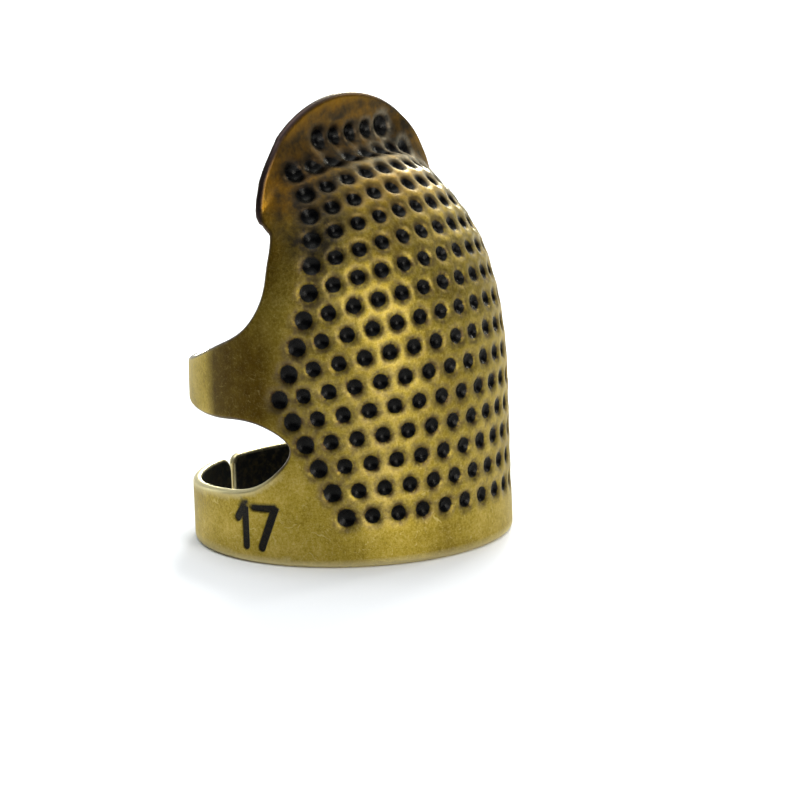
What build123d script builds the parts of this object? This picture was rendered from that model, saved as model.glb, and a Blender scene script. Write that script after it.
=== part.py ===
"""Open-backed, adjustable sewing thimble stamped from one sheet of brass.

The front is a dimpled shield with a domed top and a flat tongue.  Two pairs of arms
curl round the back of the finger, and each bends open or closed at its root.
Frame: +Z up the finger, the shield's front towards -Y, the origin at the centre of
the finger band in the plane of the bottom rim.
"""

from build123d import *

import os
from math import atan2, copysign, cos, hypot, pi, radians, sin, tan

# ---- driving dimensions, mm -----------------------------------------------------------
OUTER_RADIUS = 9.2  # outside of the finger band
SHEET = 0.5  # thickness of the brass
WALL_HEIGHT = 9.23  # straight wall below the dome
DOME_RISE = 13.14  # rise of the elliptical profile above the wall
CREASE_ANGLE = radians(81)  # where on that ellipse the hollow below the tongue begins
CREASE_RADIUS = 1.4
TONGUE_DEPTH = 0.25  # tongue's outer face, in front of the band's axis
TONGUE_TOP = 25.5  # overall height
TONGUE_SPRING = 18.7  # level at which the tongue's arch starts
TONGUE_HALF_WIDTH = 7.68
SHOULDER = (9.5, 14.5)  # foot of the straight edge below each end of the arch

# ---- arms -----------------------------------------------------------------------------
HINGE_ANGLE = 101  # degrees from the front centre line to each arm's root
HINGE_CLEARANCE = 0.03
LOWER_TIP_ANGLES = (174.5, 184.2)  # degrees from the front to the left and right tips
UPPER_TIP_ANGLES = (169, 160)
LOWER_ROOT_TOP = 3.9
LOWER_TIP_TOP = 3.35
UPPER_BOTTOM = 8.0
UPPER_ROOT_TOP = 12.35
UPPER_TIP_TOP = 10.1
LOWER_TIP_CORNERS = (1.0, 0.6)
UPPER_TIP_CORNERS = (0.8, 0.8)
BOTTOM_CORNER = 0.3

# ---- dimples --------------------------------------------------------------------------
ROW_COUNTS = [12, 13, 14, 15, 16, 17, 16, 15, 14, 13, 12, 11, 10, 9, 8, 5]
FIRST_ROW = 3.07  # up the front profile, from the bottom rim
ROW_SPACING = 1.577
DIMPLE_PITCH = 1.50
PITCH_LOSS = (0.095, 14)  # share of the pitch lost by that row, growing as a fourth power
LAST_ROWS = (14, 0.3, 1.04)  # first of the rows in the hollow, their extra height and pitch
TOP_ROW_SHIFT = 0.5  # of a pitch, to the right
DIMPLE_RADIUS = 0.48
DIMPLE_DEPTH = 0.22
END_DIMPLE = 1.2  # size of the dimple at each end of a row, against the rest

# ---- how the rows change as the shield domes over, by the sine of the dome's angle ------
TAPER = (4.5, 0.157)  # half width is (1 - sine ** 4.5) ** 0.157 of the band's radius
FULLNESS = 0.22  # added to an ellipse's power of 2, which squares the rows off
FLARE = (1.315, 6)  # added to a cosine's power of 1, which sweeps the sides back
SIDE_DEPTH = (0.6, 4)  # how far the sides come in front of the axis, mm
ROW_LEAN = (0.66, 15.36, 7.65, 2.35)  # degrees a row tips back: a cubic in v / LEAN_LENGTH
LEAN_LENGTH = 20
SKIRT_LEVELS = (14, 19)  # heights between which the round back edge turns into the flat skirt
SKIRT_WIDTH = 12.0  # per unit past the side
SKIRT_BEND = 0.2  # share of that unit over which the skirt meets the dome

# ---- trimmed edges in the side view: (depth in front of the axis, height) ---------------
WAIST = [
    (-1.95, UPPER_ROOT_TOP),
    (-0.35, 13.1),
    (0.8, 14.2),
    (1.35, 15.6),
    (1.2, 17.0),
    (0.45, 18.5),
    (-0.9, 20.5),
]
NOTCH = [
    (-2.2, UPPER_BOTTOM),
    (-0.3, 8.12),
    (1.6, 7.8),
    (2.93, 6.75),
    (2.1, 5.4),
    (0.2, 4.27),
    (-2.2, LOWER_ROOT_TOP),
]
UPPER_ARM_EDGE = [(-1.5, UPPER_ROOT_TOP), (-4.2, 11.4), (-9.2, UPPER_TIP_TOP)]
LOWER_ARM_EDGE = [(-1.5, LOWER_ROOT_TOP), (-5.4, 3.6), (-9.2, LOWER_TIP_TOP)]

# ---- derived --------------------------------------------------------------------------
MID_RADIUS = OUTER_RADIUS - SHEET / 2
INNER_RADIUS = OUTER_RADIUS - SHEET
BALL_RADIUS = (DIMPLE_RADIUS**2 + DIMPLE_DEPTH**2) / (2 * DIMPLE_DEPTH)
REACH = 2 * OUTER_RADIUS  # past the whole part, for cutters
SIDE_END = 1.2  # where a row ends past the side of the dome, which is at 1
MARGIN = 1.0  # past the ends of the sheet, for cutters
CURVE_STEPS = 200  # along each curve of the front profile
SIDE_STEPS = 12  # points along half a row
DOME_STEPS = 16  # sections up the dome
CREASE_STEPS = 5  # sections round the hollow below the tongue
DELTA = 0.01  # step for slopes
MARCH = 0.002  # step for lengths along a row


def front_profile():
    """Outer centre line of the shield: (length along it, depth, height, sine of dome angle)."""
    crease_depth = OUTER_RADIUS * cos(CREASE_ANGLE)
    crease_height = WALL_HEIGHT + DOME_RISE * sin(CREASE_ANGLE)
    slope = atan2(DOME_RISE * cos(CREASE_ANGLE), OUTER_RADIUS * sin(CREASE_ANGLE))
    turn = pi / 2 - slope
    lead = (crease_depth - TONGUE_DEPTH) / cos(slope) - CREASE_RADIUS * tan(turn / 2)
    start_depth = crease_depth - lead * cos(slope)
    start_height = crease_height + lead * sin(slope)
    points = [(OUTER_RADIUS, 0.0, 0.0), (OUTER_RADIUS, WALL_HEIGHT, 0.0)]
    for i in range(1, CURVE_STEPS + 1):
        phi = CREASE_ANGLE * i / CURVE_STEPS
        points.append((OUTER_RADIUS * cos(phi), WALL_HEIGHT + DOME_RISE * sin(phi), sin(phi)))
    for i in range(CURVE_STEPS + 1):
        angle = slope + turn * i / CURVE_STEPS
        depth = start_depth - CREASE_RADIUS * (sin(angle) - sin(slope))
        height = start_height + CREASE_RADIUS * (cos(slope) - cos(angle))
        points.append((depth, height, sin(CREASE_ANGLE)))
    points.append((TONGUE_DEPTH, TONGUE_TOP + MARGIN, sin(CREASE_ANGLE)))
    profile = [(0.0, *points[0])]
    for last, here in zip(points, points[1:]):
        length = profile[-1][0] + hypot(here[0] - last[0], here[1] - last[1])
        profile.append((length, *here))
    return profile


PROFILE = front_profile()
CREASE_V = PROFILE[CURVE_STEPS + 1][0]  # end of the dome
HOLLOW_V = PROFILE[CURVE_STEPS + 2][0]  # start of the hollow
TONGUE_V = PROFILE[-2][0]  # start of the tongue
TOP_V = PROFILE[-1][0]


def on_profile(v):
    """Depth, height and sine of the dome angle at length v up the front profile."""
    for last, here in zip(PROFILE, PROFILE[1:]):
        if v <= here[0]:
            break
    share = (v - last[0]) / (here[0] - last[0])
    return tuple(a + share * (b - a) for a, b in zip(last[1:], here[1:]))


def share_of(value, low, high):
    """Where value stands between low and high, held to 0 to 1."""
    return min(max((value - low) / (high - low), 0.0), 1.0)


def row_slope(v):
    """Fall of a row's plane towards the back, as a tangent."""
    share = min(v, CREASE_V) / LEAN_LENGTH
    lean = sum(factor * share**power for power, factor in enumerate(ROW_LEAN))
    return tan(radians(lean * (1 - share_of(v, CREASE_V, TOP_V))))


def sheet_point(v, t):
    """Point of the outer face: v up the front profile, t from centre line (0) to side (1)."""
    front, height, rise = on_profile(v)
    past = share_of(v, CREASE_V, TONGUE_V)
    half_width = OUTER_RADIUS * (1 - rise ** TAPER[0]) ** TAPER[1]
    fullness = 2 + FULLNESS * rise**2
    flare = 1 + FLARE[0] * rise ** FLARE[1]
    side = SIDE_DEPTH[0] * rise ** SIDE_DEPTH[1] * (1 - past) + TONGUE_DEPTH * past
    angle = pi / 2 * min(abs(t), 1.0)
    x = half_width * sin(angle) ** (2 / fullness)
    depth = side + (front - side) * max(cos(angle), 0.0) ** flare
    if abs(t) > 1:
        tail = abs(t) - 1
        flat = share_of(height - (front - side) * row_slope(v), *SKIRT_LEVELS)
        flat = flat**2 * (3 - 2 * flat)
        round_x = half_width * cos(pi / 2 * tail)
        round_depth = side - OUTER_RADIUS * sin(pi / 2 * tail)
        bend = (1 - share_of(tail, 0, SKIRT_BEND)) ** 2
        skirt_depth = TONGUE_DEPTH + (side - TONGUE_DEPTH) * bend
        x = round_x + flat * (half_width + SKIRT_WIDTH * tail - round_x)
        depth = round_depth + flat * (skirt_depth - round_depth)
    z = height - (front - depth) * row_slope(v)
    return Vector(x if t >= 0 else -x, -depth, z)


def sheet_normal(v, t):
    """Outward unit normal of the outer face."""
    up = sheet_point(v + DELTA, t) - sheet_point(v - DELTA, t)
    across = sheet_point(v, t + DELTA) - sheet_point(v, t - DELTA)
    return across.cross(up).normalized()


def row_section(v):
    """Cross-section of the sheet in the leaning plane of the row at v."""
    front, height, _ = on_profile(v)
    row_plane = Plane((0, -front, height), x_dir=(1, 0, 0), z_dir=(0, row_slope(v), 1))
    outer, inner = [], []
    for i in range(-SIDE_STEPS, SIDE_STEPS + 1):
        t = SIDE_END * i / SIDE_STEPS
        point, normal = sheet_point(v, t), sheet_normal(v, t)
        flat_normal = normal - row_plane.z_dir * normal.dot(row_plane.z_dir)
        inside = point - flat_normal * (SHEET / flat_normal.dot(flat_normal))
        outer.append(row_plane.to_local_coords(point))
        inner.append(row_plane.to_local_coords(inside))
    with BuildSketch(row_plane) as section:
        with BuildLine():
            Spline(*outer)
            Line(outer[-1], inner[-1])
            Spline(*reversed(inner))
            Line(inner[0], outer[0])
        make_face()
    return section.sketch


def row_share(v, length):
    """How far towards the side a length along the row at v reaches."""
    travelled, t, here = 0.0, 0.0, sheet_point(v, 0.0)
    while travelled < length:
        last, t = here, t + MARCH
        here = sheet_point(v, t)
        travelled += (here - last).length
    return t


def dimple_centres(at_ends, lift):
    """Centres of the balls that press the dimples at the rows' ends, or all the others."""
    centres = []
    for row, count in enumerate(ROW_COUNTS):
        v = FIRST_ROW + ROW_SPACING * row
        pitch = DIMPLE_PITCH * (1 - PITCH_LOSS[0] * (row / PITCH_LOSS[1]) ** 4)
        if row >= LAST_ROWS[0]:
            v += LAST_ROWS[1]
            pitch *= LAST_ROWS[2]
        shift = TOP_ROW_SHIFT if row == len(ROW_COUNTS) - 1 else 0
        ends = (0, count - 1)
        for k in range(count):
            if (k in ends) != at_ends:
                continue
            place = k - (count - 1) / 2 + shift
            t = copysign(row_share(v, abs(place) * pitch), place)
            centres.append(sheet_point(v, t) + sheet_normal(v, t) * lift)
    return centres


def hinge_point(side):
    """Plan position of a hinge line in the middle of the sheet; side is -1 left, 1 right."""
    angle = radians(HINGE_ANGLE)
    return Vector(side * MID_RADIUS * sin(angle), -MID_RADIUS * cos(angle))


def side_view(points):
    """Side-view points as (Y, Z), from depths in front of the axis."""
    return [(-depth, height) for depth, height in points]


def make_arm(label, side, tip_angle, bottom, top_edge, tip_corner):
    """One arm: a strip of the band from its rounded root to its round-cornered tip."""
    sweep_angle = tip_angle - HINGE_ANGLE
    start = HINGE_ANGLE - 90 if side > 0 else 270 - tip_angle
    with BuildPart() as arm:
        with BuildSketch():
            with BuildLine():
                outer = CenterArc((0, 0), OUTER_RADIUS, start, sweep_angle)
                inner = CenterArc((0, 0), INNER_RADIUS, start, sweep_angle)
                Line(outer @ 0, inner @ 0)
                Line(outer @ 1, inner @ 1)
            make_face()
            with Locations(hinge_point(side)):
                Circle(SHEET / 2)
        extrude(amount=REACH)
        with BuildSketch(Plane.YZ):
            with BuildLine():
                edge = Spline(*side_view(top_edge))
                Polyline(
                    edge @ 1,
                    (OUTER_RADIUS + MARGIN, top_edge[-1][1]),
                    (OUTER_RADIUS + MARGIN, bottom),
                    (0, bottom),
                    (0, top_edge[0][1]),
                    edge @ 0,
                )
            make_face()
        extrude(amount=REACH, both=True, mode=Mode.INTERSECT)
        tip = radians(tip_angle)
        tip_foot = (side * MID_RADIUS * sin(tip), -MID_RADIUS * cos(tip))
        tip_line = Edge.make_line((*tip_foot, bottom), (*tip_foot, REACH))
        corners = arm.edges().filter_by(lambda e: e.length < 2 * SHEET and e.distance_to(tip_line) < DELTA)
        corners = corners.sort_by(Axis.Z)
        fillet(corners[-1], tip_corner)
        fillet(corners[0], BOTTOM_CORNER)
    arm.part.label = label
    return arm.part


os.makedirs("parts", exist_ok=True)

with BuildPart() as shield:
    dome = [WALL_HEIGHT + (HOLLOW_V - WALL_HEIGHT) * i / DOME_STEPS for i in range(DOME_STEPS)]
    hollow = [HOLLOW_V + (TONGUE_V - HOLLOW_V) * i / CREASE_STEPS for i in range(CREASE_STEPS + 1)]
    loft(sections=[row_section(v) for v in [-MARGIN, *dome, *hollow, TOP_V]], ruled=True)
    # the tongue's arch, in the front view
    with BuildSketch(Plane.XZ):
        with BuildLine():
            rise = TONGUE_TOP - TONGUE_SPRING
            arch = EllipticalCenterArc((0, TONGUE_SPRING), TONGUE_HALF_WIDTH, rise, 0, arc_size=180)
            Polyline(
                arch @ 0,
                SHOULDER,
                (SHOULDER[0], 0),
                (-SHOULDER[0], 0),
                (-SHOULDER[0], SHOULDER[1]),
                arch @ 1,
            )
        make_face()
    extrude(amount=REACH, both=True, mode=Mode.INTERSECT)
    # the waist above the upper arms
    with BuildSketch(Plane.YZ):
        with BuildLine():
            waist = Spline(*side_view(WAIST))
            Polyline(waist @ 1, (REACH, WAIST[-1][1]), (REACH, WAIST[0][1]), waist @ 0)
        make_face()
    extrude(amount=REACH, both=True, mode=Mode.SUBTRACT)
    # the notch between the upper and the lower arms
    with BuildSketch(Plane.YZ):
        with BuildLine():
            notch = Spline(*side_view(NOTCH))
            Polyline(notch @ 1, (REACH, NOTCH[-1][1]), (REACH, NOTCH[0][1]), notch @ 0)
        make_face()
    extrude(amount=REACH, both=True, mode=Mode.SUBTRACT)
    # everything behind the hinge lines, and the cups that the arms' round roots turn in
    with BuildSketch():
        with BuildLine():
            Polyline(
                (0, 0),
                2 * hinge_point(1),
                (REACH, REACH),
                (-REACH, REACH),
                2 * hinge_point(-1),
                close=True,
            )
        make_face()
        with Locations(hinge_point(1), hinge_point(-1)):
            Circle(SHEET / 2 + HINGE_CLEARANCE)
    extrude(amount=UPPER_ROOT_TOP + MARGIN, mode=Mode.SUBTRACT)
    # the dimples
    for at_ends, size in ((False, 1), (True, END_DIMPLE)):
        with Locations(*dimple_centres(at_ends, size * (BALL_RADIUS - DIMPLE_DEPTH))):
            Sphere(size * BALL_RADIUS, mode=Mode.SUBTRACT)

shield.part.label = "shield"
export_step(shield.part, "parts/shield.step")

arms = [
    make_arm("upper_left_arm", -1, UPPER_TIP_ANGLES[0], UPPER_BOTTOM, UPPER_ARM_EDGE, UPPER_TIP_CORNERS[0]),
    make_arm("upper_right_arm", 1, UPPER_TIP_ANGLES[1], UPPER_BOTTOM, UPPER_ARM_EDGE, UPPER_TIP_CORNERS[1]),
    make_arm("lower_left_arm", -1, LOWER_TIP_ANGLES[0], 0, LOWER_ARM_EDGE, LOWER_TIP_CORNERS[0]),
    make_arm("lower_right_arm", 1, LOWER_TIP_ANGLES[1], 0, LOWER_ARM_EDGE, LOWER_TIP_CORNERS[1]),
]
for arm in arms:
    export_step(arm, f"parts/{arm.label}.step")
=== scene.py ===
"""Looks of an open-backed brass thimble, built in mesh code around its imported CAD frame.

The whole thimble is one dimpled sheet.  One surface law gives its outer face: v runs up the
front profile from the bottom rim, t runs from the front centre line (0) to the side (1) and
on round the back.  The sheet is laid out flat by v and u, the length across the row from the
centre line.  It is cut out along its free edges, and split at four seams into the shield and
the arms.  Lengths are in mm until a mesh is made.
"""

import math

import bpy
import numpy as np
from mathutils import Matrix, Vector, geometry, kdtree


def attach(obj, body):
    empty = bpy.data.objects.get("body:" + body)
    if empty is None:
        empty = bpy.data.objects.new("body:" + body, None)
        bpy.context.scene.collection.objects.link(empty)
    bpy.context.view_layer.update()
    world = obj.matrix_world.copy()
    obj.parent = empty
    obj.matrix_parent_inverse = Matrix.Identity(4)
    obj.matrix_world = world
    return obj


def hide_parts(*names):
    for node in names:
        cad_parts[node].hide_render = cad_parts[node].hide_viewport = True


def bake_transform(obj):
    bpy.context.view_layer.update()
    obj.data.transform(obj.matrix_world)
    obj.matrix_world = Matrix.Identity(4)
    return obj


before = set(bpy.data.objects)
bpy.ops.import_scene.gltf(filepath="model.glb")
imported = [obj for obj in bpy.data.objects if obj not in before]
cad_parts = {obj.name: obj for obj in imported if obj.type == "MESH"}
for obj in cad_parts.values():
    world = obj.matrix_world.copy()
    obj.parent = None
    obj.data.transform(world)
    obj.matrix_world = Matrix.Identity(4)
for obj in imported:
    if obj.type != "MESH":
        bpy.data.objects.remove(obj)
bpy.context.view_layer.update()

# ---- the sheet, mm ------------------------------------------------------------------------
OUTER_RADIUS = 9.2
SHEET = 0.5
WALL_HEIGHT = 9.23
DOME_RISE = 13.14
CREASE_ANGLE = math.radians(81)  # round the dome's profile, to where it runs into the hollow
CREASE_RADIUS = 1.4
TONGUE_DEPTH = 0.25
TONGUE_TOP = 25.5
TONGUE_SPRING = 18.7  # where the tongue's arch starts
TONGUE_HALF_WIDTH = 7.68
SHOULDER = (9.5, 14.5)  # half-width and height from which the edge draws in to the tongue's
TAPER = (4.5, 0.157)  # powers by which the half-width shrinks as the dome rises
FULLNESS = 0.22  # how square the dome's rows are
FLARE = (1.315, 6)  # factor and power by which the rows' sides sweep back as it rises
SIDE_DEPTH = (0.6, 4)  # and by which their ends come forward
ROW_LEAN = (0.66, 15.36, 7.65, 2.35)  # degrees, for rising powers of v / LEAN_LENGTH
LEAN_LENGTH = 20
SKIRT_LEVELS = (14, 19)  # heights over which the round back gives way to a flat skirt
SKIRT_WIDTH = 12.0
SKIRT_BEND = 0.2
SKIRT_ROUNDING = 0.11
ROUNDED_FROM = (17.0, 20.0)  # v over which the skirt's rounding comes in
ROUNDED_SIDES = (0.72, 0.95)  # t over which it does
ROUNDING_WEIGHTS = ((-1, 0.12), (-0.5, 0.23), (0, 0.3), (0.5, 0.23), (1, 0.12))
MARGIN = 1.0  # of the profile past the rim and past the tongue's top
DOME_POINTS = 400
HOLLOW_POINTS = 200

# ---- dimples ------------------------------------------------------------------------------
ROW_COUNTS = [12, 13, 14, 15, 16, 17, 16, 15, 14, 13, 12, 11, 10, 9, 8, 5]
LAST_ROW = len(ROW_COUNTS) - 1
FIRST_ROW = 3.07
ROW_SPACING = 1.577
LAST_ROWS_LIFT = 0.3
LAST_ROWS_STRETCH = 1.04
LAST_ROW_SHIFT = 0.5  # to the right, in pitches
DIMPLE_PITCH = 1.50
PITCH_LOSS = 0.095
DIMPLE_SIZE = 0.44
DIMPLE_DEPTH = 0.27
DIMPLE_POWER = 2.6  # how flat a dimple's floor is
FUNNEL_SIZE = 0.62  # the shallow dish that each dimple sinks in
FUNNEL_DEPTH = (0.06, 0.16)  # low on the wall, and high on the dome
FUNNEL_ROWS = (10, 24)  # v over which it deepens
LARGE_DIMPLE = 1.2  # the ends of each row and all of the last but one, against the rest
BUMP_SHARE = 0.8  # of a dimple's depth that shows on the inside

# ---- free edges in the side view: (depth in front of the axis, height) --------------------
LOWER_EDGE = [(2.93, 6.75), (2.1, 5.4), (0.2, 4.27), (-2.2, 3.9), (-5.4, 3.6), (-9.2, 3.35)]
UPPER_EDGE = [(2.93, 6.75), (1.6, 7.8), (-0.3, 8.12), (-2.2, 8.0), (-5.4, 8.0), (-9.2, 8.0)]
WAIST_EDGE = [(-9.2, 10.1), (-4.2, 11.4), (-1.95, 12.35), (-0.35, 13.1), (0.8, 14.2), (1.35, 15.6),
              (1.2, 17.0), (0.45, 18.5), (-0.9, 20.5)]
SEAM_ANGLE = 97.0  # degrees from the front centre line to where the arms are split off
SEAM_T = SEAM_ANGLE / 90
SEAM_DEPTH = OUTER_RADIUS * math.cos(math.radians(SEAM_ANGLE))
CORNER_BLEND = 0.16  # rounding where the waist runs into the tongue's edge

# ---- the stamped size number: strokes as (degrees from the front, height) -----------------
NUMBER_STROKES = [
    [(-94.2, 2.55), (-90.6, 3.35), (-90.6, 0.98)],
    [(-86.6, 3.3), (-77.6, 3.3), (-83.6, 0.98)],
]
NUMBER_BOX = ((-95.8, 0.6), (-75.8, 3.7))
STROKE_HALF = 0.26  # half its width
STROKE_EDGE = 0.035  # half the width of its slope
STAMP_DEPTH = 0.07

# ---- mesh spacing, mm ---------------------------------------------------------------------
RIM_OUTER = 0.28  # rounding of the free edges, outside and inside
RIM_INNER = 0.16
RIM_STEPS = [0.0, 0.008, 0.03, 0.08, 0.15, 0.22, 0.29]
EDGE_STEP = 0.14
CLOSE_STEP = EDGE_STEP / 6  # of the border points that gaps are measured to
FREE_EDGE_STEP = EDGE_STEP / 3  # of those that nearness to an edge, for its wear and painted light, is measured from, on the arms
SEAM_STEP = 0.03  # from a seam to the row of points beside it
SEAM_SPACING = 0.25  # along a seam
SEAM_CLEAR = 0.05  # from a seam to the rim's points
ARM_POINTS = 400  # along an arm's edge, and how far back its direction at the tip is taken
ARM_BACK = 40
FIELD_STEP = 0.3
NUMBER_STEP = 0.055
RING_STEPS = [0.09, 0.18, 0.26, 0.34, 0.42, 0.5, 0.58, 0.66]  # round each dimple
RING_POINTS = 22
RING_CLEAR, NUMBER_CLEAR, FIELD_CLEAR, ARM_CLEAR = 0.09, 0.05, 0.22, 0.2  # from the borders
LAYOUT_HALF = 17  # u, past the seams
SEAMS_BELOW = 17  # v, past the upper seams
FAR = 9.0  # stands for any distance past the rim's rounding
MM = 0.001

# ---- finish and painted light: reach of each vertex attribute, mm -------------------------
PATINA_FADE = (0.32, 0.58)  # these three from a dimple's middle, over its size
HALO_FADE = (0.45, 0.95)
LIP_RADIUS, LIP_WIDTH = 0.6, 0.11
LIP_LEAST = 0.08  # strength of the lips' polish and painted highlight low down and on the left, against 1 high on the right
LIP_ROWS = (13, 22)  # v over which the lips' painted highlight comes up
LIP_SIDES = (-0.05, 0.55)  # t over which it does
SOOT_REACH = 1.5
SOOT_LAST = 26  # v past which every dimple is sooty
SOOT_LEFT = (0.5, 24.5)  # u to the left of which, and v past which, they are too
SOOT_ENDS = 20  # v past which the large ones are
EDGE_REACH = 0.5
INSIDE_FADE = (0.02, 0.2)


def share_of(value, low, high):
    return np.clip((value - low) / (high - low), 0.0, 1.0)


def smooth(value, low, high):
    share = share_of(value, low, high)
    return share * share * (3 - 2 * share)


def front_profile():
    """Columns of the outer centre line: length along it, depth, height, sine of dome angle."""
    crease_depth = OUTER_RADIUS * math.cos(CREASE_ANGLE)
    crease_height = WALL_HEIGHT + DOME_RISE * math.sin(CREASE_ANGLE)
    slope = math.atan2(DOME_RISE * math.cos(CREASE_ANGLE), OUTER_RADIUS * math.sin(CREASE_ANGLE))
    turn = math.pi / 2 - slope
    lead = (crease_depth - TONGUE_DEPTH) / math.cos(slope) - CREASE_RADIUS * math.tan(turn / 2)
    start_depth = crease_depth - lead * math.cos(slope)
    start_height = crease_height + lead * math.sin(slope)
    phi = np.linspace(0, CREASE_ANGLE, DOME_POINTS)
    angle = slope + turn * np.linspace(0, 1, HOLLOW_POINTS)
    depth = np.concatenate([
        [OUTER_RADIUS], OUTER_RADIUS * np.cos(phi),
        start_depth - CREASE_RADIUS * (np.sin(angle) - math.sin(slope)), [TONGUE_DEPTH]])
    height = np.concatenate([
        [-MARGIN], WALL_HEIGHT + DOME_RISE * np.sin(phi),
        start_height + CREASE_RADIUS * (math.cos(slope) - np.cos(angle)), [TONGUE_TOP + MARGIN]])
    rise = np.concatenate([[0.0], np.sin(phi), np.full(HOLLOW_POINTS + 1, math.sin(CREASE_ANGLE))])
    length = np.concatenate([[0.0], np.cumsum(np.hypot(np.diff(depth), np.diff(height)))]) - MARGIN
    return length, depth, height, rise


PROFILE = front_profile()
CREASE_V = PROFILE[0][DOME_POINTS]
TONGUE_V = PROFILE[0][-2]
TOP_V = PROFILE[0][-1]


def row_slope(v):
    """How steeply the row at v leans back."""
    share = np.minimum(v, CREASE_V) / LEAN_LENGTH
    lean = sum(factor * share**power for power, factor in enumerate(ROW_LEAN))
    return np.tan(np.radians(lean * (1 - share_of(v, CREASE_V, TOP_V))))


def outer_face(v, t):
    """Points of the outer face, as rows of x, y, z."""
    v, t = np.broadcast_arrays(np.asarray(v, float), np.asarray(t, float))
    front, height, rise = (np.interp(v, PROFILE[0], column) for column in PROFILE[1:])
    past = share_of(v, CREASE_V, TONGUE_V)
    half_width = OUTER_RADIUS * (1 - rise ** TAPER[0]) ** TAPER[1]
    flare = 1 + FLARE[0] * rise ** FLARE[1]
    side = SIDE_DEPTH[0] * rise ** SIDE_DEPTH[1] * (1 - past) + TONGUE_DEPTH * past
    angle = np.pi / 2 * np.minimum(np.abs(t), 1.0)
    x = half_width * np.sin(angle) ** (2 / (2 + FULLNESS * rise**2))
    depth = side + (front - side) * np.maximum(np.cos(angle), 0.0) ** flare
    tail = np.maximum(np.abs(t) - 1, 0.0)
    flat = smooth(height - (front - side) * row_slope(v), *SKIRT_LEVELS)
    round_x = half_width * np.cos(np.pi / 2 * tail)
    round_depth = side - OUTER_RADIUS * np.sin(np.pi / 2 * tail)
    bend = (1 - share_of(tail, 0, SKIRT_BEND)) ** 2
    skirt_depth = TONGUE_DEPTH + (side - TONGUE_DEPTH) * bend
    beyond = np.abs(t) > 1
    x = np.where(beyond, round_x + flat * (half_width + SKIRT_WIDTH * tail - round_x), x)
    depth = np.where(beyond, round_depth + flat * (skirt_depth - round_depth), depth)
    z = height - (front - depth) * row_slope(v)
    return np.stack([np.where(t >= 0, x, -x), -depth, z], -1)


def soft_face(v, t):
    """The outer face with the bend between the dome's side and the tongue's skirt rounded."""
    v, t = np.broadcast_arrays(np.asarray(v, float), np.asarray(t, float))
    reach = SKIRT_ROUNDING * smooth(v, *ROUNDED_FROM) * smooth(np.abs(t), *ROUNDED_SIDES)
    return sum(weight * outer_face(v, np.sign(t) * (np.abs(t) + shift * reach))
               for shift, weight in ROUNDING_WEIGHTS)


def outer_normal(v, t, step=0.012):
    up = soft_face(v + step, t) - soft_face(v - step, t)
    across = soft_face(v, t + step) - soft_face(v, t - step)
    normal = np.cross(across, up)
    return normal / np.linalg.norm(normal, axis=-1, keepdims=True)


def v_at(t, z):
    """Length up the front profile of the point at t that stands at height z."""
    v = np.array(z, float)
    for _ in range(30):
        v = v + (z - outer_face(v, t)[..., 2])
    return v


# ---- arc length across each row, so that the sheet can be laid out flat -------------------
TABLE_V = np.linspace(-0.5, TOP_V, 560)
TABLE_T = np.linspace(0, 1.25, 700)
TABLE_U = np.linspace(0, 20, 1000)
ROW_STEPS = np.linalg.norm(np.diff(soft_face(TABLE_V[:, None], TABLE_T[None, :]), axis=1), axis=2)
ROW_LENGTH = np.concatenate([np.zeros((len(TABLE_V), 1)), np.cumsum(ROW_STEPS, axis=1)], axis=1)
T_TABLE = np.stack([np.interp(TABLE_U, lengths, TABLE_T) for lengths in ROW_LENGTH])


def table_value(table, columns, v, column):
    """Bilinear reading of a table over TABLE_V and evenly spaced columns."""
    i = np.clip((v - TABLE_V[0]) / (TABLE_V[1] - TABLE_V[0]), 0, len(TABLE_V) - 1.001)
    j = np.clip((column - columns[0]) / (columns[1] - columns[0]), 0, len(columns) - 1.001)
    a, b = i.astype(int), j.astype(int)
    p, q = i - a, j - b
    return ((table[a, b] * (1 - q) + table[a, b + 1] * q) * (1 - p)
            + (table[a + 1, b] * (1 - q) + table[a + 1, b + 1] * q) * p)


def t_at(u, v):
    return np.sign(u) * table_value(T_TABLE, TABLE_U, v, np.abs(u))


def u_at(t, v):
    return np.sign(t) * table_value(ROW_LENGTH, TABLE_T, v, np.abs(t))


def smooth_line(points, spacing=0.02):
    """A cubic spline through side-view points, sampled evenly."""
    points = np.array(points, float)
    knots = np.concatenate([[0], np.cumsum(np.hypot(*np.diff(points, axis=0).T))])
    gaps = np.diff(knots)
    size = len(points)
    matrix, right = np.eye(size), np.zeros((size, 2))
    for i in range(1, size - 1):
        matrix[i, i - 1:i + 2] = gaps[i - 1], 2 * (gaps[i - 1] + gaps[i]), gaps[i]
        ahead, behind = (points[i + 1] - points[i]) / gaps[i], (points[i] - points[i - 1]) / gaps[i - 1]
        right[i] = 6 * (ahead - behind)
    curve = np.linalg.solve(matrix, right)
    at = np.linspace(0, knots[-1], int(knots[-1] / spacing))
    i = np.clip(np.searchsorted(knots, at) - 1, 0, size - 2)
    a, b, gap = (knots[i + 1] - at)[:, None], (at - knots[i])[:, None], gaps[i][:, None]
    return (curve[i] * a**3 + curve[i + 1] * b**3) / (6 * gap) + (
        (points[i] / gap - curve[i] * gap / 6) * a + (points[i + 1] / gap - curve[i + 1] * gap / 6) * b)


LOWER_LINE = smooth_line(LOWER_EDGE[::-1])
UPPER_LINE = smooth_line(UPPER_EDGE[::-1])
WAIST_LINE = smooth_line(WAIST_EDGE)
RIM_LINE = np.array([(-OUTER_RADIUS, 0.0), (OUTER_RADIUS, 0.0)])
NOTCH_LINE = smooth_line(LOWER_EDGE[3::-1] + UPPER_EDGE[1:4])
NOTCH_LOWER = 300  # points of it that are all on its lower half


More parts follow.
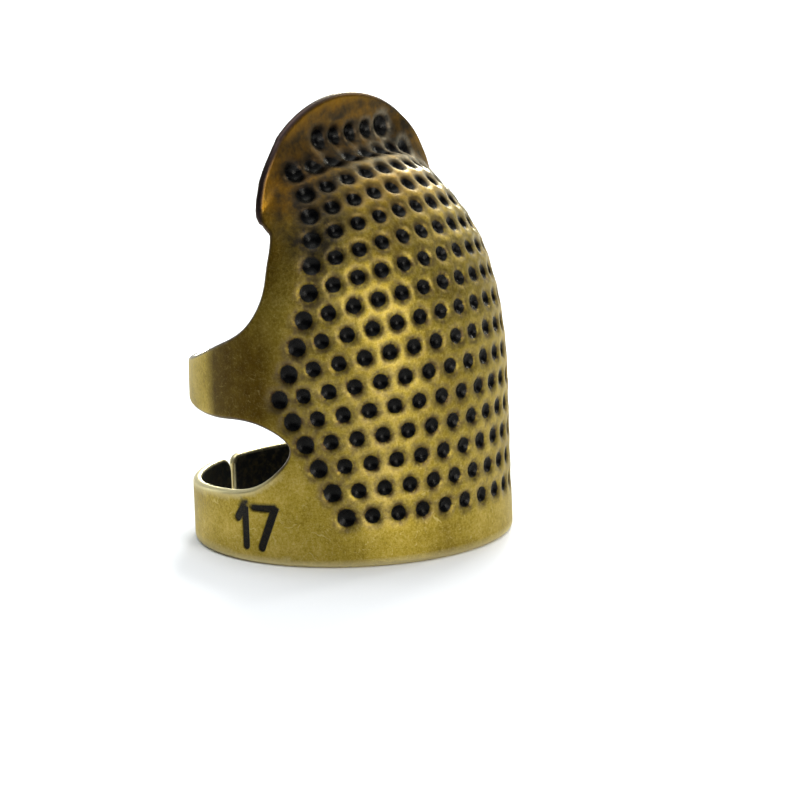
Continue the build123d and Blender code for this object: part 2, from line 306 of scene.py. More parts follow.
def height_on(line, degrees):
    """Height of a side-view line where it crosses the band at that angle from the front."""
    depth = OUTER_RADIUS * np.cos(np.radians(degrees))
    return np.interp(depth, line[:, 0], line[:, 1])


def spaced(points, step):
    """The polyline with its points about a step apart, ends kept."""
    points = np.asarray(points, float)
    length = np.concatenate([[0], np.cumsum(np.hypot(*np.diff(points, axis=0).T))])
    at = np.linspace(0, length[-1], max(2, int(round(length[-1] / step)) + 1))
    return np.stack([np.interp(at, length, points[:, k]) for k in (0, 1)], -1)


def offset(points, distance):
    """The polyline moved to its left."""
    along = np.gradient(points, axis=0)
    along /= np.linalg.norm(along, axis=1, keepdims=True)
    return points + distance * np.stack([-along[:, 1], along[:, 0]], -1)


def seam_heights(low, high):
    """Heights of a seam's points, with the rim's rounding at each end."""
    rim = np.array(RIM_STEPS)
    middle = np.linspace(low + rim[-1], high - rim[-1], max(2, int((high - low) / SEAM_SPACING)))[1:-1]
    heights = np.concatenate([low + rim, middle, (high - rim)[::-1]])
    return heights, np.minimum(heights - low, high - heights)


# ---- outline of the laid-out shield -------------------------------------------------------
def side_to_sheet(line):
    """Side-view points of the plain band, as (u, v) on the right half."""
    t = np.degrees(np.arccos(line[:, 0] / OUTER_RADIUS)) / 90
    v = v_at(t, line[:, 1])
    return np.stack([u_at(t, v), v], -1)


def waist_and_arch():
    """Right edge from the seam above the upper arm, round the waist, up to the tongue's top."""
    start = v_at(SEAM_ANGLE / 90, height_on(WAIST_LINE, SEAM_ANGLE))
    top = np.interp(TONGUE_TOP, PROFILE[2], PROFILE[0])
    rows = start + (top - start) * np.sin(np.linspace(0, np.pi / 2, 700))
    t = np.linspace(0, 1.24, 900)
    edge = []
    for v in rows:
        x, y, z = soft_face(v, t).T
        behind = -y - np.interp(z, WAIST_LINE[:, 1], WAIST_LINE[:, 0])
        rise = (z - TONGUE_SPRING) / (TONGUE_TOP - TONGUE_SPRING)
        arch = TONGUE_HALF_WIDTH * np.sqrt(np.maximum(1 - rise**2, 0))
        shoulder = np.interp(z, [SHOULDER[1], TONGUE_SPRING], [SHOULDER[0], TONGUE_HALF_WIDTH])
        within = np.where(z > TONGUE_SPRING, arch, shoulder) - x
        inside = -CORNER_BLEND * np.logaddexp(-behind / CORNER_BLEND, -within / CORNER_BLEND)
        last = np.argmax(inside < 0)
        if last == 0:
            edge.append((0.0, v))
            continue
        share = inside[last - 1] / (inside[last - 1] - inside[last])
        crossing = t[last - 1] + share * (t[last] - t[last - 1])
        edge.append((float(u_at(np.array([crossing]), np.array([v]))[0]), v))
    return np.array(edge)


def mirrored(points):
    """An edge on the left from the same edge on the right, so that the outline runs on round."""
    return points[::-1] * (-1, 1)


def shield_free_edges():
    """The bottom, the right notch, the waists and arch, and the left notch, in that order."""
    t = np.linspace(-SEAM_T, SEAM_T, 600)
    v = v_at(t, np.zeros_like(t))
    bottom = np.stack([u_at(t, v), v], -1)
    first = np.argmin(abs(NOTCH_LINE[:NOTCH_LOWER, 0] - SEAM_DEPTH))
    notch_line = NOTCH_LINE[first:]
    last = len(notch_line) - np.argmax(notch_line[::-1, 0] > SEAM_DEPTH)
    notch = side_to_sheet(notch_line[:last])
    waist = waist_and_arch()
    return bottom, notch, np.concatenate([waist, mirrored(waist)[1:]]), mirrored(notch)


def lay_out_shield():
    """Points along the borders of the flat layout, the distance of each from a free edge, the
    outline as their numbers in order, and the free edges as closely spaced points."""
    low, high, top = (float(height_on(line, SEAM_ANGLE)) for line in (LOWER_LINE, UPPER_LINE, WAIST_LINE))
    points, distances, loop, edges = [], [], [], []

    def add(new, distance, in_loop):
        start = sum(len(p) for p in points)
        points.append(new)
        distances.append(np.broadcast_to(distance, len(new)))
        if in_loop:
            loop.extend(range(start, start + len(new)))

    def seam(side, heights, edge_distance):
        v = v_at(np.full(len(heights), SEAM_T), heights)
        line = np.stack([side * u_at(np.full(len(heights), SEAM_T), v), v], -1)
        order = slice(None, None, side)
        add(line[order], edge_distance[order], True)
        add(line - (side * SEAM_STEP, 0), edge_distance, False)

    def edge(curve):
        add(spaced(curve, EDGE_STEP)[1:-1], 0.0, True)
        edges.append(curve)

    lower, upper = seam_heights(0.0, low), seam_heights(high, top)
    bottom, right_notch, arch, left_notch = shield_free_edges()
    edge(bottom)
    seam(1, *lower)
    edge(right_notch)
    seam(1, *upper)
    edge(arch)
    seam(-1, *upper)
    edge(left_notch)
    seam(-1, *lower)
    for curve in edges:
        line = spaced(curve, EDGE_STEP)
        for distance in RIM_STEPS[1:]:
            ring = offset(line, distance)
            limit = u_at(np.full(len(ring), SEAM_T), np.clip(ring[:, 1], TABLE_V[0], TOP_V))
            near_seam = (ring[:, 1] < SEAMS_BELOW) & (np.abs(ring[:, 0]) > limit - SEAM_CLEAR)
            add(ring[~near_seam], distance, False)
    return points, distances, loop, [spaced(curve, CLOSE_STEP) for curve in edges]


def dimple_places():
    """(u, v, size) of each dimple in the flat layout."""
    places = []
    for row, count in enumerate(ROW_COUNTS):
        upper = row >= LAST_ROW - 1
        v = FIRST_ROW + ROW_SPACING * row + (LAST_ROWS_LIFT if upper else 0)
        pitch = DIMPLE_PITCH * (1 - PITCH_LOSS * (row / (LAST_ROW - 1)) ** 4)
        pitch *= LAST_ROWS_STRETCH if upper else 1
        middle = (count - 1) / 2 - (LAST_ROW_SHIFT if row == LAST_ROW else 0)
        for k in range(count):
            large = row == LAST_ROW - 1 or k in (0, count - 1)
            places.append(((k - middle) * pitch, v, LARGE_DIMPLE if large else 1.0))
    return np.array(places)


DIMPLES = dimple_places()
DIMPLE_U, DIMPLE_V, DIMPLE_SIZES = DIMPLES.T
DIMPLE_POINTS = soft_face(DIMPLE_V, t_at(DIMPLE_U, DIMPLE_V))
FUNNEL_DEPTHS = FUNNEL_DEPTH[0] + (FUNNEL_DEPTH[1] - FUNNEL_DEPTH[0]) * smooth(DIMPLE_V, *FUNNEL_ROWS)
SOOTY = ((DIMPLE_V > SOOT_LAST) | ((DIMPLE_U < SOOT_LEFT[0]) & (DIMPLE_V > SOOT_LEFT[1]))
         | ((DIMPLE_V > SOOT_ENDS) & (DIMPLE_SIZES > 1)))


def stroke_distance(degrees, z):
    """Distance to the nearest stroke of the number, on the unrolled band."""
    place = np.stack([np.radians(degrees) * OUTER_RADIUS, z], -1)
    nearest = np.full(len(place), FAR)
    for stroke in NUMBER_STROKES:
        for start, end in zip(stroke, stroke[1:]):
            a, b = (np.array([math.radians(p[0]) * OUTER_RADIUS, p[1]]) for p in (start, end))
            share = np.clip(((place - a) @ (b - a)) / ((b - a) @ (b - a)), 0, 1)
            nearest = np.minimum(nearest, np.linalg.norm(place - a - share[:, None] * (b - a), axis=1))
    return nearest


def distance_to_points(places, targets):
    """Distance from each place to the nearest target, both flat or both in space."""
    places, targets = (np.pad(points, ((0, 0), (0, 3 - points.shape[1]))) for points in (places, targets))
    tree = kdtree.KDTree(len(targets))
    for i, target in enumerate(targets):
        tree.insert(target, i)
    tree.balance()
    return np.array([tree.find(place)[2] for place in places])


def field_points(low, high, step):
    """A hexagonal field of points over a box."""
    rows = np.arange(low[1], high[1], step * math.sqrt(3) / 2)
    field = []
    for i, y in enumerate(rows):
        x = np.arange(low[0] + (i % 2) * step / 2, high[0], step)
        field.append(np.stack([x, np.full_like(x, y)], -1))
    return np.concatenate(field)


def triangulate(points, loop):
    """Triangles inside the loop, over the same points."""
    _, _, faces, origins, _, _ = geometry.delaunay_2d_cdt([Vector(p) for p in points], [], [loop], 1, 1e-7)
    source = np.array([o[0] if o else -1 for o in origins])
    if (source < 0).any():
        raise SystemExit("the layout's edges cross")
    faces = source[np.array([f for f in faces if len(f) == 3])]
    a, b, c = (points[faces[:, k]] for k in range(3))
    area = (b[:, 0] - a[:, 0]) * (c[:, 1] - a[:, 1]) - (b[:, 1] - a[:, 1]) * (c[:, 0] - a[:, 0])
    faces[area < 0] = faces[area < 0][:, ::-1]
    return faces[abs(area) > 1e-10]


def rounding(distance, radius):
    """How far a rounded edge lies under the face, at that distance from it."""
    return radius - np.sqrt(radius**2 - (radius - np.minimum(distance, radius)) ** 2)


def build_sheet(name, points, distances, loop, seams, free_edges, v, t, stamped=False):
    """A closed mesh of sheet metal from the flat layout's points, with its finish and painted light as
    attributes.
    """
    faces = triangulate(points, loop)
    used = np.unique(faces)
    number = np.full(len(points), -1)
    number[used] = np.arange(len(used))
    faces = number[faces]
    v, t, edge_distance = v[used], t[used], distances[used]
    base, normal = soft_face(v, t), outer_normal(v, t)
    gaps = np.linalg.norm(base[:, None, :] - DIMPLE_POINTS[None, :, :], axis=2) / DIMPLE_SIZES
    bowls = np.exp(-((gaps / DIMPLE_SIZE) ** DIMPLE_POWER))
    funnels = np.exp(-((gaps / FUNNEL_SIZE) ** 2))
    sink = (DIMPLE_DEPTH * bowls * DIMPLE_SIZES ** 0.5 + FUNNEL_DEPTHS * funnels).sum(1)
    stamp = np.zeros(len(base))
    if stamped:
        away = stroke_distance(90 * t, base[:, 2])
        stamp = 1 - smooth(away, STROKE_HALF - STROKE_EDGE, STROKE_HALF + STROKE_EDGE)
    outer = base - normal * (rounding(edge_distance, RIM_OUTER) + sink + STAMP_DEPTH * stamp)[:, None]
    inner = base - normal * (SHEET - rounding(edge_distance, RIM_INNER) + BUMP_SHARE * sink)[:, None]
    count = len(used)
    faces = faces.tolist()
    edges = dict.fromkeys(pair for face in faces for pair in zip(face, face[1:] + face[:1]))
    border = [(a, b) for a, b in edges if (b, a) not in edges]
    seam_points = set(number[list(seams)].tolist())
    caps = {frozenset((a + side, b + side)) for a, b in border for side in (0, count)
            if a in seam_points and b in seam_points}
    polygons = faces + [[i + count for i in reversed(face)] for face in faces]
    polygons += [(b, a, a + count, b + count) for a, b in border]
    mesh = bpy.data.meshes.new(name)
    mesh.from_pydata((np.concatenate([outer, inner]) * MM).tolist(), [], polygons)
    mesh.validate()
    mesh.polygons.foreach_set("use_smooth", [True] * len(mesh.polygons))
    for edge in mesh.edges:
        if frozenset(edge.vertices) in caps:
            edge.use_edge_sharp = True
    near_dimple = gaps.min(1)
    soot = np.exp(-((gaps[:, SOOTY] / SOOT_REACH) ** 2)).sum(1)
    # a ring on each dimple's lip: polish, and a painted highlight on it that is strongest high on the
    # right
    lip_polish_and_highlight = np.exp(-(((near_dimple - LIP_RADIUS) / LIP_WIDTH) ** 2))
    lip_polish_and_highlight *= LIP_LEAST + (1 - LIP_LEAST) * smooth(v, *LIP_ROWS) * smooth(t, *LIP_SIDES)
    edge_nearness = 1 - smooth(distance_to_points(base, free_edges), 0.0, EDGE_REACH)
    none = np.zeros(count)
    finish_and_painted_light = {  # on the outside and on the inside
        "patina": (1 - smooth(near_dimple, *PATINA_FADE), none),
        "soot": (np.minimum(soot, 1.0), none),
        "halo": (1 - smooth(near_dimple, *HALO_FADE), none),
        "edge": (edge_nearness, edge_nearness),
        "lip_polish_and_highlight": (lip_polish_and_highlight, none),
        "stamp": (stamp, none),
        "inside": (none, smooth(edge_distance, *INSIDE_FADE)),
    }
    for label, values in finish_and_painted_light.items():
        values = np.concatenate(values).astype(np.float32)
        mesh.attributes.new(label, "FLOAT", "POINT").data.foreach_set("value", values)
    piece = bpy.data.objects.new(name, mesh)
    bpy.context.scene.collection.objects.link(piece)
    return piece


def to_space(points):
    """v and t of points of the shield's flat layout."""
    v = points[:, 1]
    return v, t_at(points[:, 0], v)


def keep_clear(field, others, distance):
    """The field's points that are further than that from the others."""
    return field[distance_to_points(field, others) > distance]


def dimple_gaps(points):
    """Distance of each point of the flat layout from each dimple."""
    return np.linalg.norm(points[:, None, :] - DIMPLES[None, :, :2], axis=2)


def dimple_rings():
    """Rings of points round each dimple, without those that are nearer to another dimple."""
    angles = np.arange(RING_POINTS) * 2 * np.pi / RING_POINTS
    rings = [DIMPLES[:, :2]]
    for k, radius in enumerate(RING_STEPS):
        turned = angles + (k % 2) * np.pi / RING_POINTS
        circle = radius * np.stack([np.cos(turned), np.sin(turned)], -1)
        rings.append((DIMPLES[:, None, :2] + circle[None] * DIMPLES[:, None, 2:]).reshape(-1, 2))
    rings = np.concatenate(rings)
    own = np.arange(len(DIMPLES))
    owner = np.concatenate([own] + [np.repeat(own, RING_POINTS)] * len(RING_STEPS))
    return rings[(dimple_gaps(rings) / DIMPLE_SIZES).argmin(1) == owner]


def make_shield(free_edges):
    """The dimpled plate, from borders, rings round the dimples, and plain and finer fields."""
    points, distances, loop, fine = lay_out_shield()
    border = np.concatenate([*fine, *points])
    (left, low), (right, high) = NUMBER_BOX
    left, right = np.radians(np.array([left, right])) * OUTER_RADIUS
    number = field_points((left, low + 0.1), (right, high + 0.1), NUMBER_STEP)
    field = field_points((-LAYOUT_HALF, -0.2), (LAYOUT_HALF, TOP_V), FIELD_STEP)
    on_number = ((field[:, 0] > left - 0.1) & (field[:, 0] < right + 0.1)
                 & (field[:, 1] > low) & (field[:, 1] < high + 0.2))
    on_rings = (dimple_gaps(field) <= RING_STEPS[-1] * DIMPLE_SIZES + 0.12).any(1)
    field = field[~on_number & ~on_rings]
    for extra, clear in ((dimple_rings(), RING_CLEAR), (number, NUMBER_CLEAR), (field, FIELD_CLEAR)):
        extra = keep_clear(extra, border, clear)
        points.append(extra)
        distances.append(np.full(len(extra), FAR))
    points, distances = np.concatenate(points), np.concatenate(distances)
    v, t = to_space(points)
    seams = [i for i in loop if abs(abs(t[i]) - SEAM_T) < 1e-3 and v[i] < SEAMS_BELOW]
    t[seams] = np.sign(t[seams]) * SEAM_T
    return build_sheet("shield_sheet", points, distances, loop, seams, free_edges, v, t, stamped=True)


def arm_corner(corner, before, after, radius):
    """An arc in place of a polyline's corner."""
    corner, before, after = (np.array(p, float) for p in (corner, before, after))
    back = (before - corner) / np.linalg.norm(before - corner)
    ahead = (after - corner) / np.linalg.norm(after - corner)
    half = math.acos(np.clip(back @ ahead, -1, 1)) / 2
    middle = (back + ahead) / np.linalg.norm(back + ahead)
    centre = corner + middle * radius / math.sin(half)
    start = corner + back * radius / math.tan(half) - centre
    end = corner + ahead * radius / math.tan(half) - centre
    sweep = math.atan2(start[0] * end[1] - start[1] * end[0], start @ end)
    turn = np.linspace(0, sweep, 24)
    return centre + np.stack([start[0] * np.cos(turn) - start[1] * np.sin(turn),
                              start[0] * np.sin(turn) + start[1] * np.cos(turn)], -1)


def arm_outline(tip_degrees, bottom_line, top_line, tip_corner):
    """Free edge of an arm, from the seam along the bottom, round the tip and back along the top,
    as (width round the band, height) on the right side."""
    across = np.radians(np.linspace(SEAM_ANGLE, tip_degrees, ARM_POINTS)) * OUTER_RADIUS
    degrees = np.degrees(across / OUTER_RADIUS)
    bottom = np.stack([across, height_on(bottom_line, degrees)], -1)
    top = np.stack([across, height_on(top_line, degrees)], -1)[::-1]
    low = arm_corner(bottom[-1], bottom[-ARM_BACK], top[0], TIP_BOTTOM_CORNER)
    high = arm_corner(top[0], bottom[-1], top[ARM_BACK], tip_corner)
    bottom = bottom[bottom[:, 0] < low[0, 0] - 0.01]
    top = top[top[:, 0] < high[-1, 0] - 0.01]
    return np.concatenate([bottom, low, high, top])


TIP_BOTTOM_CORNER = 0.3
ARMS = {  # side, degrees from the front to the tip, bottom, top, radius of the tip's top corner
    "lower_left_arm": (-1, 174.5, RIM_LINE, LOWER_LINE, 1.0),
    "lower_right_arm": (1, 184.2, RIM_LINE, LOWER_LINE, 0.6),
    "upper_left_arm": (-1, 169, UPPER_LINE, WAIST_LINE, 0.8),
    "upper_right_arm": (1, 160, UPPER_LINE, WAIST_LINE, 0.8),
}


def arm_space(points, side):
    """v and t of points of an arm's outline."""
    t = points[:, 0] / OUTER_RADIUS / (np.pi / 2)
    return v_at(t, points[:, 1]), side * t


def make_arm(name, free_edges):
    """An arm, laid out on the right as (width round the band, height)."""
    side, *shape = ARMS[name]
    outline = spaced(arm_outline(*shape), EDGE_STEP)
    low, high = float(outline[0, 1]), float(outline[-1, 1])
    heights, seam_distance = seam_heights(low, high)
    seam_w = math.radians(SEAM_ANGLE) * OUTER_RADIUS
    seam = np.stack([np.full(len(heights), seam_w), heights], -1)
    points = [outline[1:-1], seam[::-1], seam + (SEAM_STEP, 0)]
    distances = [np.zeros(len(outline) - 2), seam_distance[::-1], seam_distance]
    loop = list(range(len(outline) - 2 + len(seam)))
    seams = range(len(outline) - 2, len(loop))
    for distance in RIM_STEPS[1:]:
        ring = offset(outline, distance)
        ring = ring[ring[:, 0] > seam_w + SEAM_CLEAR]
        points.append(ring)
        distances.append(np.full(len(ring), distance))
    border = np.concatenate([spaced(outline, CLOSE_STEP), *points])
    field = field_points((seam_w, low - 0.1), outline.max(0), FIELD_STEP)
    field = keep_clear(field, border, ARM_CLEAR)
    points.append(field)
    distances.append(np.full(len(field), FAR))
    points, distances = np.concatenate(points), np.concatenate(distances)
    v, t = arm_space(points, side)
    points = points * (side, 1)  # a left arm's layout is mirrored, so its triangles are too
    return build_sheet(name + "_sheet", points, distances, loop, seams, free_edges, v, t)


def all_free_edges():
    """Points along the whole thimble's free edges, for the worn colour and the painted highlight and shade
    on them.
    """
    *_, fine = lay_out_shield()
    places = [soft_face(*to_space(line)) for line in fine]
    for side, *shape in ARMS.values():
        line = spaced(arm_outline(*shape), FREE_EDGE_STEP)
        places.append(outer_face(*arm_space(line, side)))
    return np.concatenate(places)[::3]


# ---- materials ----------------------------------------------------------------------------
PALETTE = {  # sRGB, 0 to 255
    "tarnished": (122, 101, 30),
    "brass": (153, 132, 47),
    "rubbed": (180, 156, 76),
    # brown tarnish, darkened low on the sides as painted shade and lightened on the tongue as painted
    # light
    "low_brown_and_shade": (60, 41, 0),
    "high_brown_and_light": (142, 98, 8),
    "orange": (152, 108, 14),
    "smudge": (92, 90, 78),
    "light_speck": (206, 190, 126),
    "dark_speck": (70, 56, 20),
    "scratch": (206, 188, 122),
    "ring": (66, 48, 24),
    # the lips: polish and a painted highlight
    "lip_polish_and_highlight": (216, 208, 182),
    "soot": (34, 31, 28),
    # the lower band's edges: wear and a painted highlight; the edges above it: painted shade
    "worn_edge_and_highlight": (206, 194, 150),
    "cut_edge_shade": (60, 48, 46),
    "black": (4, 4, 6),
}
SMUDGE_PLACE = (6.3, -6.6, 1.9)
SCRATCH_TURNS = ((0.4, 0.9, 0.2), (-0.7, 0.3, 1.1))
SPECULAR_TINT = (0.96, 0.92, 0.78, 1.0)
WHITE = (1, 1, 1, 1)


def linear(name):
    """A colour of the palette as linear values with alpha."""
    shares = (value / 255 for value in PALETTE[name])
    return (*(((c + 0.055) / 1.055) ** 2.4 if c > 10 / 255 else c / 12.92 for c in shares), 1.0)


class Nodes:
    """Short calls for building one node tree."""

    def __init__(self, tree):
        self.tree = tree

    def new(self, kind, inputs=None, **settings):
        """A node with these settings, and its inputs linked to sockets or set to values."""
        node = self.tree.nodes.new(kind)
        for key, value in settings.items():
            setattr(node, key, value)
        for key, value in (inputs or {}).items():
            if isinstance(value, bpy.types.NodeSocket):
                self.tree.links.new(value, node.inputs[key])
            else:
                node.inputs[key].default_value = value
        return node

    def link(self, value, node, key):
        self.tree.links.new(value, node.inputs[key])

    def math(self, operation, a, b):
        return self.new("ShaderNodeMath", {0: a, 1: b}, operation=operation).outputs[0]

    def plus(self, a, b):
        return self.math("ADD", a, b)

    def minus(self, a, b):
        return self.math("SUBTRACT", a, b)

    def times(self, first, *others):
        for other in others:
            first = self.math("MULTIPLY", first, other)
        return first

    def most(self, a, b):
        return self.math("MAXIMUM", a, b)

    def vector(self, operation, *values):
        return self.new("ShaderNodeVectorMath", dict(enumerate(values)), operation=operation).outputs

    def ramp(self, value, low, high, out_low=0.0, out_high=1.0):
        inputs = {0: value, 1: low, 2: high, 3: out_low, 4: out_high}
        return self.new("ShaderNodeMapRange", inputs).outputs[0]

    def mix(self, share, a, b):
        return self.new("ShaderNodeMix", {0: share, 6: a, 7: b}, data_type="RGBA").outputs[2]

    def noise(self, place, scale, detail=3.0, rough=0.55, output=0):
        inputs = {"Vector": place, "Scale": scale, "Detail": detail, "Roughness": rough}
        return self.new("ShaderNodeTexNoise", inputs).outputs[output]

    def attribute(self, name):
        return self.new("ShaderNodeAttribute", attribute_name=name).outputs["Fac"]


def new_material(name):
    material = bpy.data.materials.new(name)
    material.use_nodes = True
    return material, Nodes(material.node_tree), material.node_tree.nodes["Principled BSDF"]


def antique_brass():
    """Brass with tarnish, stains and scratches, blackened in its dimples and on the inside, with painted
    shade in the brown of its sides and on its upper edges, and painted light on its tongue, its lower
    edges and its dimples' lips.
    """
    material, n, shader = new_material("antique_brass")
    place = n.new("ShaderNodeTexCoord").outputs["Object"]
    place = n.vector("MULTIPLY", place, (1 / MM,) * 3)[0]
    right, back, height = n.new("ShaderNodeSeparateXYZ", {0: place}).outputs
    cloud = n.noise(place, 0.25, 3)
    mottle = n.noise(place, 1.3, 4, 0.6)
    blotch = n.noise(place, 2.6, 3, 0.6)
    grain = n.noise(place, 6.0, 4, 0.75)
    fine = n.noise(place, 20.0, 2, 0.6)
    patina, halo, edge = n.attribute("patina"), n.attribute("halo"), n.attribute("edge")
    soot, lip_polish_and_highlight = n.attribute("soot"), n.attribute("lip_polish_and_highlight")
    stamp, inside = n.attribute("stamp"), n.attribute("inside")

    # brass, from tarnished to rubbed
    tone = n.plus(n.plus(n.times(cloud, 0.5), n.times(mottle, 0.3)), n.times(grain, 0.2))
    brass = n.new("ShaderNodeValToRGB", {0: tone})
    stops = brass.color_ramp.elements
    stops[0].position, stops[0].color = 0.34, linear("tarnished")
    stops[1].position, stops[1].color = 0.64, linear("rubbed")
    stops.new(0.5).color = linear("brass")

    # brown tarnish round the sides and high up, but not on the arms nor low down: darkened on the sides as
    # painted shade, and lighter on the tongue as painted light
    brown_tarnish_and_shade = n.times(
        n.most(n.ramp(back, -4.8, -1.4), n.ramp(height, 17.0, 23.0, 0.0, 0.85)),
        n.ramp(height, 4.0, 8.5),
        n.most(n.ramp(back, 2.3, 3.3, 1.0, 0.12), n.ramp(height, 12.0, 14.0)),
        n.most(n.ramp(height, 12.0, 14.5, 1.0, 0.72), n.ramp(height, 17.0, 20.0)))
    brown_with_shade_and_light = n.mix(n.ramp(height, 15.0, 21.0), linear("low_brown_and_shade"), linear("high_brown_and_light"))
    shade = n.mix(n.times(brown_tarnish_and_shade, n.ramp(mottle, 0.3, 0.7, 1.0, 0.88)), brass.outputs[0], brown_with_shade_and_light)

    # an orange stain round the right side, and a grey smudge low on it
    warm = n.times(
        n.ramp(right, 4.0, 8.0, 0.0, 0.85), n.ramp(height, 4.0, 8.0),
        n.ramp(back, -2.0, 3.0, 1.0, 0.1), n.ramp(cloud, 0.35, 0.6, 0.4, 1.0))
    shade = n.mix(warm, shade, linear("orange"))
    smudge = n.vector("DISTANCE", place, SMUDGE_PLACE)["Value"]
    smudge = n.plus(smudge, n.ramp(mottle, 0.3, 0.7, -0.8, 0.8))
    shade = n.mix(n.ramp(smudge, 0.4, 1.7, 0.55, 0.0), shade, linear("smudge"))

    # fine grain of light and dark specks, the light ones fewer where it is brown
    specks = n.ramp(n.plus(n.times(grain, 0.6), n.times(fine, 0.4)), 0.36, 0.64, -0.5, 0.5)
    lighter = n.times(n.most(specks, 0.0), n.minus(0.6, n.times(brown_tarnish_and_shade, 0.4)))
    darker = n.times(n.most(n.times(specks, -1.0), 0.0), 0.8)
    shade = n.mix(lighter, shade, linear("light_speck"))
    shade = n.mix(darker, shade, linear("dark_speck"))

    # fine scratches in two directions, most of them low down
    wander = n.noise(place, 0.7, 2.0, 0.5, "Color")
    wander = n.vector("MULTIPLY_ADD", wander, (2.4, 2.4, 2.4), place)[0]
    for turn in SCRATCH_TURNS:
        inputs = {"Vector": wander, "Rotation": turn, "Scale": (5.0, 0.3, 5.0)}
        lined = n.new("ShaderNodeMapping", inputs).outputs[0]
        scratch = n.ramp(n.noise(lined, 1.0, 2, 0.5), 0.66, 0.72)
        shade = n.mix(n.times(scratch, n.ramp(height, 2.5, 9.0, 0.42, 0.1)), shade, linear("scratch"))

    # tarnish gathers round the dimples, and most of all high on the dome
    tarnish = n.most(n.ramp(blotch, 0.34, 0.62, 0.15, 1.0), n.ramp(height, 15.0, 20.0, 0.0, 0.85))
    shade = n.mix(n.times(halo, tarnish), shade, linear("ring"))
    # the dimples' lips: polish, and a painted highlight that is strongest high on the right
    lip_polish_and_highlight = n.times(lip_polish_and_highlight, n.ramp(blotch, 0.3, 0.6, 0.5, 1.0))
    shade = n.mix(n.times(lip_polish_and_highlight, 0.6), shade, linear("lip_polish_and_highlight"))
    shade = n.mix(n.times(soot, n.ramp(mottle, 0.3, 0.65, 0.45, 0.95)), shade, linear("soot"))

    # the edges are bright with wear and a painted highlight on the lower band, and dark with painted shade
    # above it
    low = n.ramp(height, 4.2, 5.6, 1.0, 0.0)
    shade = n.mix(n.times(edge, low), shade, linear("worn_edge_and_highlight"))
    cut = n.times(n.ramp(edge, 0.55, 0.95), n.minus(1.0, low))
    shade = n.mix(cut, shade, linear("cut_edge_shade"))

    # black in the dimples, in the stamped number and on the inside
    ragged = n.plus(patina, n.times(n.minus(grain, 0.5), 0.9))
    dark = n.most(n.ramp(ragged, 0.25, 0.7), n.times(stamp, n.ramp(grain, 0.25, 0.5, 0.93, 1.0)))
    dark = n.most(dark, n.times(inside, n.ramp(blotch, 0.45, 0.7, 1.0, 0.92)))
    shade = n.mix(dark, shade, linear("black"))

    n.link(shade, shader, "Base Color")
    n.link(n.ramp(dark, 0.2, 0.9, 1.0, 0.5), shader, "Metallic")
    shader.inputs["Specular IOR Level"].default_value = 0.2
    shader.inputs["Specular Tint"].default_value = SPECULAR_TINT
    rough = n.ramp(grain, 0.3, 0.7, 0.40, 0.54)
    rough = n.minus(rough, n.times(n.most(edge, lip_polish_and_highlight), 0.12))
    rough = n.minus(rough, n.times(dark, 0.2))
    n.link(n.most(rough, n.times(inside, 0.5)), shader, "Roughness")
    bump = n.new("ShaderNodeBump", {"Strength": 0.4, "Distance": 0.00004, "Height": grain})
    inputs = {"Strength": 0.4, "Distance": 0.00001, "Height": fine, "Normal": bump.outputs[0]}
    n.link(n.new("ShaderNodeBump", inputs).outputs[0], shader, "Normal")
    return material


def floor_material():
    """A pale floor that brightens away from the object, as a lit backdrop does."""
    material, n, shader = new_material("floor")
    place = n.new("ShaderNodeTexCoord").outputs["Object"]
    n.link(n.mix(n.noise(place, 3.0), (0.93, 0.93, 0.93, 1), (0.96, 0.96, 0.96, 1)), shader, "Base Color")
    away = n.vector("LENGTH", place)["Value"]
    n.link(n.ramp(away, 0.2, 0.7, 0.0, 0.6), shader, "Emission Strength")
    shader.inputs["Emission Color"].default_value = WHITE
    shader.inputs["Roughness"].default_value = 0.9
    shader.inputs["Specular IOR Level"].default_value = 0.0
    return material


# ---- the pieces ---------------------------------------------------------------------------
brass = antique_brass()
free_edges = all_free_edges()

shield = make_shield(free_edges)
shield.data.materials.append(brass)
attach(shield, "shield")
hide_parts("shield")

for arm_name, (side, *_) in ARMS.items():
    arm = make_arm(arm_name, free_edges)
    arm.data.materials.append(brass)
    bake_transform(arm)
    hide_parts(arm_name)

# ---- floor, light and camera, m -----------------------------------------------------------
FLOOR_HALF = 2
FLOOR_DROP = 0.00002  # under the object, so that the two faces don't fight
COOL = (0.90, 0.96, 1.0)
SKY_SIDE = (0.74, 0.63, 0.1)  # the side that the sky is bright on
LIGHTS = {  # place, height aimed at on the object's axis, width and height, power, colour
    "key": ((-0.10, -0.33, 0.12), 0.012, (0.10, 0.20), 0.8, WHITE[:3]),
    "top": ((0.05, 0.10, 0.40), 0.012, (0.30, 0.30), 0.6, WHITE[:3]),
    "ridge": ((0.30, 0.11, 0.22), 0.012, (0.10, 0.10), 0.5, WHITE[:3]),
    "lips": ((0.34, -0.07, 0.20), 0.018, (0.05, 0.05), 0.22, WHITE[:3]),
    "rim": ((0.33, 0.22, 0.12), 0.015, (0.07, 0.14), 1.5, COOL),
    "side": ((-0.04, 0.35, 0.08), 0.012, (0.08, 0.14), 0.12, COOL),
}
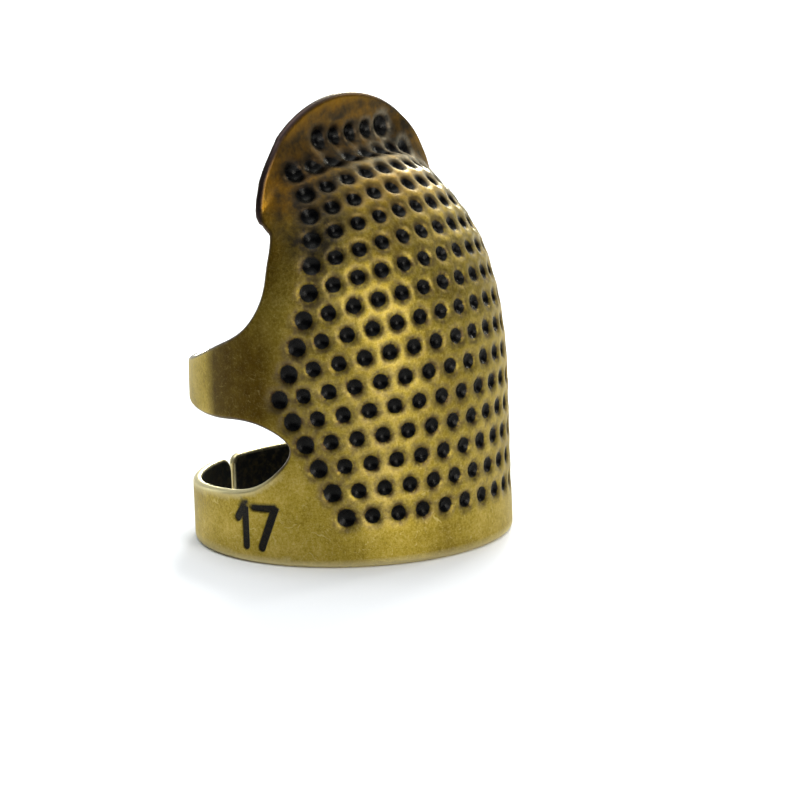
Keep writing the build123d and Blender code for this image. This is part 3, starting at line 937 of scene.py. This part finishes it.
# the camera was fitted to the photograph
CAMERA_LENS = 200.5  # mm, on a 36 mm sensor
CAMERA_PLACE = (-188.68, -165.28, 63.52)  # mm
CAMERA_TURN = [(0.6440, 0.1879, -0.7416), (-0.7642, 0.1154, -0.6345), (-0.0337, 0.9754, 0.2179)]


def link_object(name, data):
    thing = bpy.data.objects.new(name, data)
    bpy.context.scene.collection.objects.link(thing)
    return thing


floor_mesh = bpy.data.meshes.new("floor")
corners = [(x * FLOOR_HALF, y * FLOOR_HALF, 0) for x, y in ((-1, -1), (1, -1), (1, 1), (-1, 1))]
floor_mesh.from_pydata(corners, [], [(0, 1, 2, 3)])
floor_mesh.materials.append(floor_material())
floor = link_object("floor", floor_mesh)
floor.location.z = -FLOOR_DROP

# a sky that is white where the camera sees it, and cool and bright above and on one side elsewhere
world = bpy.data.worlds.new("studio")
bpy.context.scene.world = world
world.use_nodes = True
sky = Nodes(world.node_tree)
background = world.node_tree.nodes["Background"]
direction = sky.new("ShaderNodeTexCoord").outputs["Generated"]
away = sky.vector("DOT_PRODUCT", direction, SKY_SIDE)["Value"]
upward = sky.new("ShaderNodeSeparateXYZ", {0: direction}).outputs[2]
soft = sky.most(sky.ramp(away, 0.1, 0.9, 0.08, 0.85), sky.ramp(upward, 0.65, 0.95, 0.05, 1.2))
seen = sky.new("ShaderNodeLightPath").outputs["Is Camera Ray"]
sky.link(sky.most(soft, seen), background, "Strength")
sky.link(sky.mix(seen, (*COOL, 1.0), WHITE), background, "Color")

for light_name, (place, aim, size, power, tint) in LIGHTS.items():
    light = bpy.data.lights.new(light_name, "AREA")
    light.shape = "RECTANGLE"
    light.size, light.size_y = size
    light.energy = power
    light.color = tint
    lamp = link_object(light_name, light)
    lamp.location = place
    lamp.rotation_euler = (Vector((0, 0, aim)) - Vector(place)).to_track_quat("-Z", "Y").to_euler()

camera_data = bpy.data.cameras.new("camera")
camera_data.lens = CAMERA_LENS
camera_data.sensor_width = 36
camera_data.clip_start, camera_data.clip_end = 0.01, 20
camera = link_object("camera", camera_data)
camera.matrix_world = Matrix.Translation(Vector(CAMERA_PLACE) * MM) @ Matrix(CAMERA_TURN).to_4x4()
bpy.context.scene.camera = camera
bpy.context.scene.view_settings.view_transform = "Standard"
